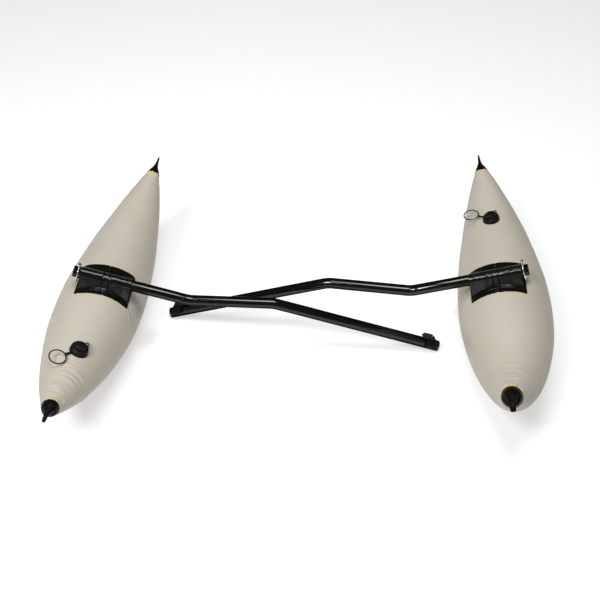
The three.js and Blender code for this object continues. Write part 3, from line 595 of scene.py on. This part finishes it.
def tunnel(o, node, low, high):
    """A fabric tunnel over the tube."""
    n = max(4, int((high - low) / (1.5)))
    bulge = waves(o.seed + 80 + len(node), 6, 14, 40)
    rows = np.array([tunnel_section(o, x, bulge) for x in np.linspace(low, high, n + 1)])
    make(f"{node}_fabric", rows, grid_faces(n + 1, rows.shape[1], lids=True), o.on_top, SLEEVE, o.body,
         (node,), crease=40)


# Arms

def tube_line():
    """Stations (x, z, turn) of the tube's centre line."""
    tangent = BEND_R * math.tan(BEND / 2)
    steps = 16
    turns = [BEND * k / steps for k in range(steps + 1)]
    ex, ez = TO_BEND + MIDDLE * math.cos(BEND), MIDDLE * math.sin(BEND)
    first, last = TO_BEND - tangent, ex + tangent
    line = [(-OUTBOARD, 0.0, 0.0)]
    line += [(first + BEND_R * math.sin(a), BEND_R * (1 - math.cos(a)), a) for a in turns]
    line += [(last - BEND_R * math.sin(a), ez - BEND_R * (1 - math.cos(a)), a) for a in turns[::-1]]
    line.append((ex + INNER, ez, 0.0))
    return line


END_X, END_Z = tube_line()[-1][:2]


def arm_tube(o):
    """The bent tube, open at both ends, with broken edges."""
    turn = np.linspace(0, 2 * np.pi, 64, endpoint=False)

    def ring(x, z, slope, r):
        up = np.array([-math.sin(slope), 0, math.cos(slope)])
        around = np.cos(turn)[:, None] * np.array([0, 1.0, 0]) + np.sin(turn)[:, None] * up
        return np.array([x, 0, z]) + r * around

    line = tube_line()
    outer, bore, blunt = TUBE_R, TUBE_R - TUBE_WALL, TUBE_EDGE
    first, last = line[0], line[-1]
    rows = [ring(first[0] + OUTER_BORE, first[1], 0, bore), ring(first[0] + blunt, first[1], 0, bore),
            ring(first[0], first[1], 0, bore + blunt), ring(first[0], first[1], 0, outer - blunt),
            ring(first[0] + blunt, first[1], 0, outer)]
    rows += [ring(x, z, slope, outer) for x, z, slope in line[1:-1]]
    rows += [ring(last[0] - blunt, last[1], 0, outer), ring(last[0], last[1], 0, outer - blunt),
             ring(last[0], last[1], 0, bore + blunt), ring(last[0] - blunt, last[1], 0, bore),
             ring(last[0] - INNER_BORE, last[1], 0, bore)]
    make(o.side + "_bent_tube", rows, grid_faces(len(rows), len(turn)), o.arm, TUBE, "arms",
         (o.side + "_arm_tube",), crease=50)


def lock_pin(o):
    low = TUBE_R + SEAT_GAP
    profile = rounded([(0, PIN_TOP), (PIN_HEAD_R, PIN_TOP), (PIN_HEAD_R, low), (PIN_R, low),
                       (PIN_R, PIN_TIP), (0, PIN_TIP)], 0.7)
    lathe(o.side + "_pin", profile, o.arm @ shift(PIN_X), STEEL, "arms", (o.side + "_lock_pin",),
          n=48)


def lock_ring(o):
    place = o.arm @ shift(PIN_X) @ Matrix.Rotation(math.radians(90), 4, "Y")
    revolve(o.side + "_ring", circle(RING_R, RING_WIRE, 0.0), place, STEEL, o.side + "_pin_ring",
            (o.side + "_lock_ring",), n=120, crease=0)


def stop_rivet(o):
    place = o.arm @ shift(TO_BEND - RIVET_TO_BEND) @ Matrix.Rotation(o.inboard * RIVET_TURN, 4, "X")
    seat, low = TUBE_R + SEAT_GAP, TUBE_R - 2 * TUBE_WALL
    profile = rounded([(0, seat + RIVET_HEIGHT), (2.5, seat + 2.1), (4.4, seat + 1.0), (RIVET_HEAD_R, seat),
                       (RIVET_SHANK_R, seat), (RIVET_SHANK_R, low), (0, low)], 0.8)
    lathe(o.side + "_rivet", profile, place, PLASTIC, "arms", (o.side + "_stop_rivet",), n=40)


def snap_button(o):
    place = o.arm @ shift(END_X - BUTTON_FROM_END, 0, END_Z)
    dome = [(0, BUTTON_TIP), (2.0, BUTTON_TIP + 0.1), (3.1, BUTTON_TIP + 0.7), (3.8, BUTTON_TIP + 1.7),
            (BUTTON_R, BUTTON_TIP + 2.9)]
    profile = dome + [(BUTTON_R, BUTTON_FLANGE), (BUTTON_FLANGE_R, BUTTON_FLANGE),
                      (BUTTON_FLANGE_R, BUTTON_BASE), (0, BUTTON_BASE)]
    lathe(o.side + "_button", profile, place, STEEL, o.side + "_button",
          (o.side + "_snap_button",), n=40)


# Valve

def valve_base(o):
    """The welded flange that follows the skin, and the threaded neck."""
    turn = np.linspace(0, 2 * np.pi, 96, endpoint=False)
    middle = VALVE_TURN * float(o.radius_at(o.place / HALF))
    edge = ((10.5, 0.3), (1.1, 0.3), (0.8, 0.9), (1.0, 1.5), (1.9, 2.4), (3.5, 3.0), (6.7, 3.1), (6.9, 3.2))
    rows = []
    for inset, over in edge:
        r = FLANGE_R - inset
        rows.append(o.draped(middle + r * np.cos(turn), o.place + r * np.sin(turn), over))
    make(o.side + "_valve_flange", rows, grid_faces(len(rows), len(turn), lids=True), o.base, PLASTIC,
         o.body, (o.side + "_valve_base",), crease=40)
    neck = rounded([(0, -7), (12.5, -7), (12.5, 10), (NECK_R, 10), (NECK_R, -9), (0, -9)], 0.4)
    lathe(o.side + "_valve_neck", neck, o.valve, PLASTIC, o.body)


def valve_cap(o):
    """The stepped screw cap with grip ribs and its lug."""
    body = o.side + "_screw_cap"
    profile = rounded([
        (0, CAP_CEILING), (NECK_R + RUN_GAP, CAP_CEILING), (NECK_R + RUN_GAP, SKIRT), (CAP_R, SKIRT),
        (CAP_R, CAP_SHOULDER), (19.8, 11.4), (13.4, 12.2), (KNOB_R, 19.5), (11.6, 21.0), (8.8, 21.4),
        (8.2, KNOB_TOP), (0, KNOB_TOP)], 0.9)
    cap = lathe(o.side + "_cap_body", profile, o.valve, PLASTIC, body,
                (o.side + "_valve_cap",), n=144)
    inside = o.valve.inverted()
    for vertex in cap.data.vertices:
        p = inside @ (vertex.co / MM)
        r, turn = math.hypot(p.x, p.y), math.atan2(p.y, p.x)
        if CAP_R - 0.4 < r and p.z > SKIRT + 0.5 or 7.5 < r < 9.6 and p.z > 16:
            keep = 1 - GRIP_DEPTH / r * (1 + math.cos(GRIP_RIBS * turn)) / 2
            vertex.co = (o.valve @ Vector((p.x * keep, p.y * keep, p.z))) * MM
    lug = o.valve @ Matrix.Rotation(LUG_TURN, 4, "Z") @ shift(CAP_R + 2.2)
    revolve(o.side + "_cap_lug", circle(LUG_R, LUG_WIRE, SKIRT + 2.4, n=12), lug, PLASTIC, body,
            n=40, crease=0)


def tether(o):
    """The soft collar under the cap, its strap and the thin keeper ring."""
    low, high = COLLAR, COLLAR + COLLAR_THICK
    inner = NECK_R + SEAT_GAP
    collar = [(inner, low), (CAP_R - 0.4, low), (CAP_R, low + 0.4), (CAP_R, high - 0.4),
              (CAP_R - 0.4, high), (inner, high)]
    revolve(o.side + "_tether_collar", collar, o.tether, PLASTIC, o.body,
            (o.side + "_cap_tether",))
    keeper = CAP_R + STRAP + KEEPER_R
    wire = [(r, z * 0.8) for r, z in circle(KEEPER_R - 1.4, 1.6, 0.0, n=12)]
    revolve(o.side + "_tether_ring", [(r, z + low + 1) for r, z in wire], o.tether @ shift(keeper),
            PLASTIC, o.body, crease=0)
    start, end = CAP_R - 0.7, CAP_R + STRAP + 1.2
    rows = []
    for x in np.linspace(start, end, 12):
        w = 2.4 + 1.1 * math.exp(-((x - start) / 2.5) ** 2) + 1.1 * math.exp(-((x - end) / 2.5) ** 2)
        section = [(w - 0.4, low), (w, low + 0.4), (w, high - 0.4), (w - 0.4, high)]
        rows.append([(x, y, z) for y, z in section] + [(x, -y, z) for y, z in section[::-1]])
    make(o.side + "_tether_strap", rows, grid_faces(len(rows), 8, lids=True), o.tether, PLASTIC, o.body,
         crease=30)


def specks(o):
    """A few dried drops of glue that fell on the float."""
    for k, (along, turn) in enumerate(((128, 0.28), (147, 0.20), (186, -0.12), (-176, 0.5))):
        height = float(o.relief(along / HALF, turn))
        place = Matrix.Translation(Vector(o.skin(along / HALF, turn, height)))
        drop = [(0, 0.45), (0.8, 0.3), (1.3, -0.4), (0, -0.6)]
        lathe(f"{o.side}_speck_{k}", drop, o.base @ place, GLUE, o.body, n=10, crease=0)


def outrigger(side):
    o = Outrigger(side)
    float_skin(o)
    for end in o.ends:
        nose_cap(o, end)
    half_patch(o, -1, side + "_outboard_patch")
    half_patch(o, 1, side + "_inboard_patch")
    loop = LOOP_WIDTH / 2
    tunnel(o, side + "_outboard_tunnel", -TUNNEL_REACH, -loop - LOOP_GAP)
    tunnel(o, side + "_middle_loop", -loop, loop)
    tunnel(o, side + "_inboard_tunnel", loop + LOOP_GAP, TUNNEL_REACH)
    for build in (arm_tube, lock_pin, lock_ring, stop_rivet, snap_button, valve_base, valve_cap, tether):
        build(o)


for side in SIDES:
    outrigger(side)
specks(Outrigger("left"))

# Pieces that come over from the CAD as they are get the look of their slot, and most a small bevel
slots = {p["node"]: p["material_slot"] for p in frame["record"]["subparts"]}
for name, node in frame["nodes"].items():
    node.data.materials.clear()
    node.data.materials.append(CAD_LOOKS[slots[name]])
    node.data.shade_smooth()
    node.data.set_sharp_from_angle(angle=math.radians(35))
    if name.endswith(("index_plate", "outer_plug", "inner_plug")):
        bevel = node.modifiers.new("edge", "BEVEL")
        bevel.width = 0.5 * MM
        bevel.segments = 3
        bevel.limit_method = "ANGLE"
        bevel.angle_limit = math.radians(30)


# Floor, light and camera, in metres and watts

FLOOR_COLOR, FLOOR_GLOW, WORLD_LIGHT = (0.74, 0.74, 0.745), 0.52, 0.15
LENS, SENSOR, CAMERA_AIM, CAMERA_AWAY, CAMERA_RISE = 50.207, 36, (-0.0072, 0.1371, 0), 2.399, 43.58


def floor_material():
    """A white floor that the camera and reflections see at full white, less the object's shadow."""
    m = bpy.data.materials.new("white_floor")
    m.use_nodes = True
    nodes, link = m.node_tree.nodes, m.node_tree.links.new
    shader, out = nodes["Principled BSDF"], nodes["Material Output"]
    shader.inputs["Base Color"].default_value = (*FLOOR_COLOR, 1)
    shader.inputs["Roughness"].default_value = 0.9
    shader.inputs["Specular IOR Level"].default_value = 0.0
    rays = nodes.new("ShaderNodeLightPath")
    seen = nodes.new("ShaderNodeMath")
    seen.operation = "MAXIMUM"
    link(rays.outputs["Is Camera Ray"], seen.inputs[0])
    link(rays.outputs["Is Glossy Ray"], seen.inputs[1])
    either = nodes.new("ShaderNodeMath")
    either.operation = "MAXIMUM"
    link(seen.outputs[0], either.inputs[0])
    link(rays.outputs["Is Transmission Ray"], either.inputs[1])
    glow = nodes.new("ShaderNodeEmission")
    amount = nodes.new("ShaderNodeMath")
    amount.operation = "MULTIPLY"
    amount.inputs[1].default_value = FLOOR_GLOW
    link(either.outputs[0], amount.inputs[0])
    link(amount.outputs[0], glow.inputs["Strength"])
    add = nodes.new("ShaderNodeAddShader")
    link(shader.outputs[0], add.inputs[0])
    link(glow.outputs[0], add.inputs[1])
    link(add.outputs[0], out.inputs["Surface"])
    return m


bpy.ops.mesh.primitive_plane_add(size=24, location=(0, 0, 0))
floor = bpy.context.object
floor.name = "floor"
floor.data.materials.append(floor_material())

world = bpy.data.worlds.new("studio")
bpy.context.scene.world = world
world.use_nodes = True
world.node_tree.nodes["Background"].inputs["Color"].default_value = (1, 1, 1, 1)
world.node_tree.nodes["Background"].inputs["Strength"].default_value = WORLD_LIGHT


def softbox(name, place, size, power, aim=(0, 0, 0.1)):
    light = bpy.data.lights.new(name, "AREA")
    light.shape = "RECTANGLE"
    light.size, light.size_y = size
    light.energy = power
    o = bpy.data.objects.new(name, light)
    o.location = place
    o.rotation_euler = (Vector(aim) - Vector(place)).to_track_quat("-Z", "Y").to_euler()
    bpy.context.scene.collection.objects.link(o)


softbox("key", (-1.35, -1.6, 2.95), (0.9, 0.9), 57)
softbox("top", (0.1, -0.3, 3.1), (1.3, 1.1), 44)

camera = bpy.data.objects.new("camera", bpy.data.cameras.new("camera"))
bpy.context.scene.collection.objects.link(camera)
camera.data.lens = LENS
camera.data.sensor_width = SENSOR
camera.data.clip_end = 60
aim, rise = Vector(CAMERA_AIM), math.radians(CAMERA_RISE)
camera.location = aim + CAMERA_AWAY * Vector((0, -math.cos(rise), math.sin(rise)))
camera.rotation_euler = (aim - camera.location).to_track_quat("-Z", "Y").to_euler()
bpy.context.scene.camera = camera
bpy.context.scene.view_settings.view_transform = "Standard"
